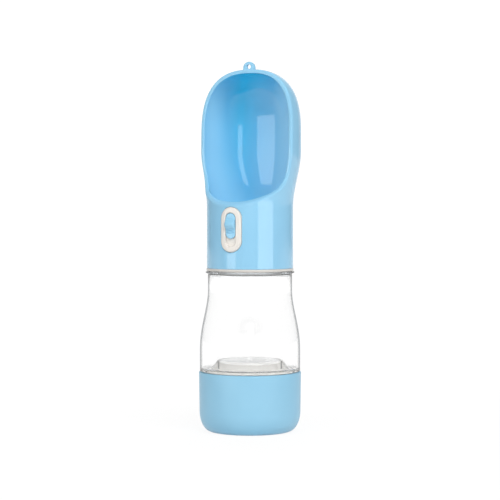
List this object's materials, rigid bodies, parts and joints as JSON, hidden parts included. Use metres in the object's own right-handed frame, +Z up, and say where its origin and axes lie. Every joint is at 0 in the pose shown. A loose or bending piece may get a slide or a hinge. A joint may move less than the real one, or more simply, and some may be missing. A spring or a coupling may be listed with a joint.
{
  "type": "dog travel water bottle",
  "caption": "Two-in-one dog travel bottle: a tall drinking scoop with a thumb-slide tap on a clear water bottle, and a food cup screwed on below.",
  "frame": {"origin": "centre of the food cup's foot, on the surface that the bottle stands on", "axes": "+Z up along the bottle's axis; -Y is the front, with the scoop's mouth and the tap button; +X is to the right of someone who faces the front"},
  "size_m": [0.0709, 0.0708, 0.2557],
  "materials": {
    "scoop_abs": "glossy light-blue moulded ABS",
    "cup_pp": "satin light-blue moulded polypropylene",
    "button_abs": "light-blue moulded ABS",
    "clear_plastic": "clear blow-moulded copolyester",
    "white_abs": "cream-white moulded ABS",
    "white_acetal": "natural white acetal",
    "silicone": "translucent white silicone rubber",
    "dark_rubber": "dark nitrile rubber",
    "stainless": "drawn stainless steel"
  },
  "bodies": {
    "cup": {"food_cup": "cup_pp"},
    "cup_seal": {"cup_gasket": "silicone"},
    "water_bottle": {"bottle": "clear_plastic"},
    "neck_seal": {"neck_gasket": "silicone"},
    "head": {"inner_cap": "white_abs", "valve_cover": "white_abs", "riser_seal": "silicone", "stem_seal": "dark_rubber", "return_spring": "stainless", "slider_bezel": "white_abs", "head_shell": "scoop_abs", "hanging_eye": "scoop_abs"},
    "tap": {"slide_button": "button_abs", "slide_carrier": "white_acetal", "valve_stem": "white_acetal", "valve_plug": "silicone", "stem_clip": "stainless"}
  },
  "joints": [
    {"name": "bottle_rise", "type": "slide", "parent": "cup", "child": "cup_seal", "axis": [0, 0, 1], "range_m": [0, 0.00501]},
    {"name": "bottle_twist", "type": "hinge", "parent": "cup_seal", "child": "water_bottle", "pos_m": [0, 0, 0.0417], "axis": [0, 0, 1], "range_deg": [0, 450]},
    {"name": "head_rise", "type": "slide", "parent": "water_bottle", "child": "neck_seal", "axis": [0, 0, 1], "range_m": [0, 0.00501]},
    {"name": "head_twist", "type": "hinge", "parent": "neck_seal", "child": "head", "pos_m": [0, 0, 0.1113], "axis": [0, 0, 1], "range_deg": [0, 450]},
    {"name": "tap_slide", "type": "slide", "parent": "head", "child": "tap", "axis": [0, 0, -1], "range_m": [0, 0.0052], "stiffness_N_per_m": 300, "springref_m": -0.006, "deforming": ["return_spring"]}
  ],
  "couplings": [
    {"joint": "bottle_rise", "follows": "bottle_twist", "m_per_rad": 0.00063662},
    {"joint": "head_rise", "follows": "head_twist", "m_per_rad": 0.00063662}
  ]
}
